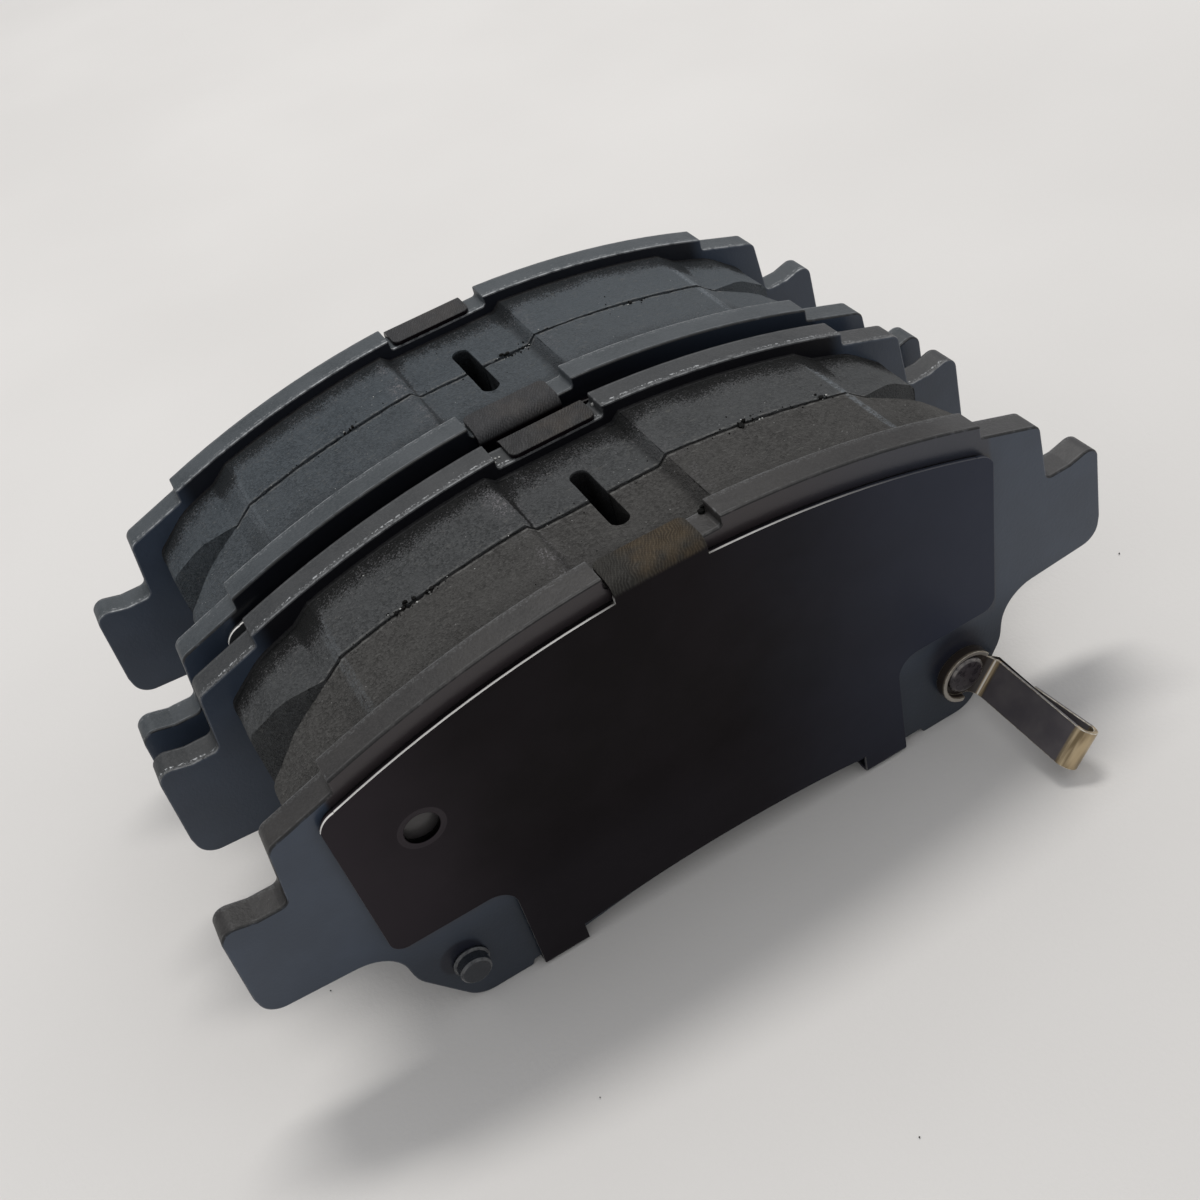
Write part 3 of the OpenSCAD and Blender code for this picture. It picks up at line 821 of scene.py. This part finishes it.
def seam_bite(pad, co, seed):
    """Depth broken away near the seam edge: fine everywhere, deeper at the broken stretches."""
    run = np.stack([co[:, 0] / 0.9, co[:, 2] * 0, np.zeros(len(co))], 1)
    coarse = lattice(run, seed + 5)
    fine = lattice(run * 2.6, seed + 6)
    reach = np.abs(co[:, 1] - seam_of(pad))
    broken = np.zeros(len(co))
    for centre, width in SEAM_BREAKS[pad]:
        broken = np.maximum(broken, np.exp(-((co[:, 0] - centre) / width) ** 2))
    chips = np.clip(coarse - 0.35, 0, 1) * (0.35 + 1.5 * broken)
    chips += np.clip(fine - 0.45, 0, 1) * (0.25 + 0.5 * broken)
    return chips * np.exp(-(reach / (0.30 + 0.5 * broken)) ** 2)


def friction_piece(pad):
    """The friction block with grainy faces and a crumbled edge at the seam."""
    node = pad + "_friction"
    lo, hi = mm_box(node)
    piece = gridded_copy(node, pad + "_friction_block", friction_cuts(pad))
    seed = PADS[pad]["seed"]
    co, normal = mesh_arrays(piece.data)
    push = 0.05 * lattice(co / 0.9, seed)
    push += 0.08 * lattice(co / 3.1, seed + 1)
    push += 0.08 * lattice(co / 9.0, seed + 2)
    push -= 0.12
    push -= np.where(normal[:, 2] > 0.15, seam_bite(pad, co, seed), 0)
    inner_face = lo.y if PADS[pad]["facing"] > 0 else hi.y
    push *= np.clip(np.abs(co[:, 1] - inner_face) / 0.8, 0, 1)
    co = co + normal * push[:, None]
    piece.data.vertices.foreach_set("co", (co * MM).astype(np.float32).ravel())
    piece.data.update()
    piece.data.polygons.foreach_set("use_smooth", [True] * len(piece.data.polygons))
    piece.data.set_sharp_from_angle(angle=SMOOTH_ANGLE)
    piece.data.materials.append(friction_material(pad))
    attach(piece, pad + "_pad")
    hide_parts(node)
    return piece


# ---------------------------------------------------------------- crumbs

DROP_HEIGHT = 90

# Loose chips in the notches at the pads' tops: kind, then (x, y, z, size) of each, in millimetres.
NOTCH_CHIPS = {
    "front": ("dark", ((9.6, -38.4, 65.5, 1.4), (8.7, -37.9, 65.1, 1.1), (9.2, -37.5, 65.4, 0.9))),
    "second": ("pale", (
        (-7.9, -5.2, 65.0, 0.5), (-8.5, -5.1, 65.0, 0.7),
        (9.3, -4.2, 65.2, 0.8), (-9.0, -6.2, 65.1, 0.5),
    )),
    "third": ("pale", ((-14.3, 3.0, 65.9, 0.5),)),
}


def grain_material(name, dark, light, metallic):
    """Broken grains, from a dark to a light colour."""
    s = Shader(name)
    colour = s.mix(s.noise(0.3, 2), dark, light)
    return s.finish(colour, 0.6, s.bump(s.noise(0.15, 2), 0.04), metallic=metallic, specular=0.1)


def grains(name, spots, material, rng):
    """Small broken grains. spots is a list of (centre in mm, size in mm)."""
    shape = bmesh.new()
    for centre, size in spots:
        made = bmesh.ops.create_icosphere(shape, subdivisions=1, radius=0.5 * size * MM)
        squash = Vector(rng.uniform(0.6, 1.2, 3))
        for vert in made["verts"]:
            squashed = Vector(a * b for a, b in zip(vert.co, squash))
            vert.co = squashed * rng.uniform(0.75, 1.15) + Vector(centre) * MM
    mesh = mesh_from(shape, name)
    mesh.materials.append(material)
    return new_object(name, mesh)


def resting_spots(piece, places):
    """Drops (x, y, size) places onto a piece from above and returns (centre, size) of those that land."""
    tree = BVHTree.FromObject(piece, bpy.context.evaluated_depsgraph_get())
    landed = []
    for x, y, size in places:
        hit, normal, _, _ = tree.ray_cast(Vector((x, y, DROP_HEIGHT)) * MM, Vector((0, 0, -1)))
        if hit is not None and normal.z > 0.5:
            landed.append((hit / MM + normal * size * 0.2, size))
    return landed


def seam_dust(pad, rng):
    """(x, y, size) of dust along the seam, thick at its broken stretches, and a little over the block."""
    lo, hi = mm_box(pad + "_friction")
    first, last = lo.x + 16, hi.x - 16
    seam, facing = seam_of(pad), PADS[pad]["facing"]
    dust = []
    for centre, width in SEAM_BREAKS[pad]:
        for _ in range(9):
            x = rng.normal(centre, width)
            dust.append((x, seam - facing * abs(rng.normal(0.5, 0.5)), rng.uniform(0.15, 0.5)))
    for _ in range(22):
        x = rng.uniform(first, last)
        dust.append((x, seam - facing * abs(rng.normal(0.3, 0.4)), rng.uniform(0.12, 0.32)))
    for _ in range(10):
        dust.append((rng.uniform(first, last), rng.uniform(lo.y + 1, hi.y - 1), rng.uniform(0.12, 0.30)))
    return dust


def seam_pits(pad, rng):
    """(x, y, size) of the dark crumbs that lie in each broken stretch of the seam."""
    seam, facing = seam_of(pad), PADS[pad]["facing"]
    largest = 1.2 - 0.3 * PADS[pad]["blue_light_tint"]
    pits = []
    for centre, width in SEAM_BREAKS[pad]:
        for _ in range(3):
            x = rng.normal(centre, 0.35 * width)
            pits.append((x, seam - facing * abs(rng.normal(0.1, 0.3)), rng.uniform(0.6, largest)))
    return pits


def block_crumbs(pad, piece):
    """Pale and dark dust along the seam and over the top of a friction block, and chips in its notch."""
    rng = np.random.default_rng(PADS[pad]["seed"] + 100)
    dust = resting_spots(piece, seam_dust(pad, rng))
    crumbs = {"pale": dust[::4], "dark": [spot for k, spot in enumerate(dust) if k % 4]}
    crumbs["dark"] += resting_spots(piece, seam_pits(pad, rng))
    if pad in NOTCH_CHIPS:
        kind, chips = NOTCH_CHIPS[pad]
        crumbs[kind] += [((x, y, z), size) for x, y, z, size in chips]
    for kind, spots in crumbs.items():
        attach(grains(pad + "_" + kind + "_crumbs", spots, GRAIN[kind], rng), pad + "_pad")


# ---------------------------------------------------------------- the set

def dress_pad(pad):
    """Materials, rounded edges and crumbs of one pad."""
    plate = dress(pad + "_plate", plate_material(pad, False), plate_material(pad, True))
    soften(plate, "plate", worn_slot=1)
    soften(dress(pad + "_shim", shim_material(pad)), "shim")
    dress(pad + "_liner", RUBBER)
    dress(pad + "_underlayer", UNDERLAYER)
    block_crumbs(pad, friction_piece(pad))
    for node in PARTS[pad + "_pad"]:
        if "_stud" in node:
            soften(dress(node, stud_material(pad, node)), "stud")
        if node.endswith("_rivet"):
            soften(dress(node, rivet_material(pad, node)), "rivet")
        if node.endswith("_indicator"):
            spring = dress(node, spring_material(pad, node), spring_edge_material(pad, node))
            soften(spring, "indicator", worn_slot=1)


PARTS = frame["record"]["behaviour"]["bodies"]
RUBBER = rubber_material()
UNDERLAYER = underlayer_material()
GRAIN = {
    "pale": grain_material("pale_grain", (0.30, 0.30, 0.29), (0.60, 0.60, 0.58), 0.3),
    "dark": grain_material("dark_grain", (0.002, 0.002, 0.002), (0.010, 0.010, 0.009), 0.0),
}
for pad_name in PADS:
    dress_pad(pad_name)


# ---------------------------------------------------------------- floor, lights and camera

# Lengths here are in metres, apart from the crumbs' places (x, y), which are in millimetres.
FLOOR_RADIUS = 4
FLOOR_GAP = 0.02 * MM
FLOOR_CRUMBS = ((93, -30), (-69, -27), (-40, -68), (-7, -99), (104, 34))
SKY = (0.97, 0.98, 1.0, 1)
SKY_STRENGTH = 0.62
CEILING_PLACE = Vector((0.16, 0.47, 1.36))
CEILING_TARGET = Vector((0, 0, 0.03))
CEILING_SIZE = (0.80, 0.22)
CEILING_POWER = 9.5
CEILING_COLOUR = (1.0, 0.985, 0.96)
CAMERA_AZIMUTH = math.radians(-16.95)
CAMERA_ELEVATION = math.radians(41.92)
CAMERA_ROLL = math.radians(-16.78)
CAMERA_PLACE = Vector((-50.74, -174.73, 187.83)) * MM
CAMERA_LENS = 41.71
CAMERA_SENSOR = 36
CAMERA_CLIP = (0.01, 20)


def floor():
    """A plain pale card under the set, with a few crumbs on it."""
    shape = bmesh.new()
    bmesh.ops.create_circle(shape, cap_ends=True, segments=96, radius=FLOOR_RADIUS)
    obj = new_object("floor", mesh_from(shape, "floor"))
    obj.location.z = cad_bounds[0].z - FLOOR_GAP
    s = Shader("floor_card")
    tone = s.smooth(s.noise(160, 3), 0.3, 0.7)
    colour = s.mix(tone, (0.69, 0.672, 0.652), (0.73, 0.712, 0.692))
    obj.data.materials.append(s.finish(colour, 0.75, s.bump(s.noise(0.8, 3), 0.05), specular=0.3))
    rng = np.random.default_rng(5)
    spots = []
    for x, y in FLOOR_CRUMBS:
        spots.append(((x + rng.normal(0, 0.5), y + rng.normal(0, 0.5), 0.2), rng.uniform(0.25, 0.45)))
    grains("floor_crumbs", spots, GRAIN["dark"], rng)


def lights():
    """Even sky, and one long soft light above and behind the set."""
    world = bpy.data.worlds.new("studio")
    world.use_nodes = True
    sky = world.node_tree.nodes["Background"]
    sky.inputs["Color"].default_value = SKY
    sky.inputs["Strength"].default_value = SKY_STRENGTH
    bpy.context.scene.world = world
    light = bpy.data.lights.new("ceiling", "AREA")
    light.shape = "ELLIPSE"
    light.size, light.size_y = CEILING_SIZE
    light.energy = CEILING_POWER
    light.color = CEILING_COLOUR
    obj = new_object("ceiling", light)
    obj.location = CEILING_PLACE
    obj.rotation_mode = "QUATERNION"
    obj.rotation_quaternion = (CEILING_TARGET - CEILING_PLACE).to_track_quat("-Z", "Y")


def camera():
    """A camera at CAMERA_PLACE, turned by its azimuth, elevation and roll."""
    around, e = CAMERA_AZIMUTH, CAMERA_ELEVATION
    back = Vector((math.sin(around) * math.cos(e), -math.cos(around) * math.cos(e), math.sin(e)))
    level = Vector((0, 0, 1)).cross(back).normalized()
    upright = back.cross(level)
    right = level * math.cos(CAMERA_ROLL) + upright * math.sin(CAMERA_ROLL)
    turn = Matrix((right, back.cross(right), back)).transposed().to_4x4()
    lens = bpy.data.cameras.new("camera")
    lens.sensor_width = CAMERA_SENSOR
    lens.lens = CAMERA_LENS
    lens.clip_start, lens.clip_end = CAMERA_CLIP
    obj = new_object("camera", lens)
    obj.matrix_world = Matrix.Translation(CAMERA_PLACE) @ turn
    bpy.context.scene.camera = obj


floor()
lights()
camera()
bpy.context.scene.view_settings.view_transform = "Standard"
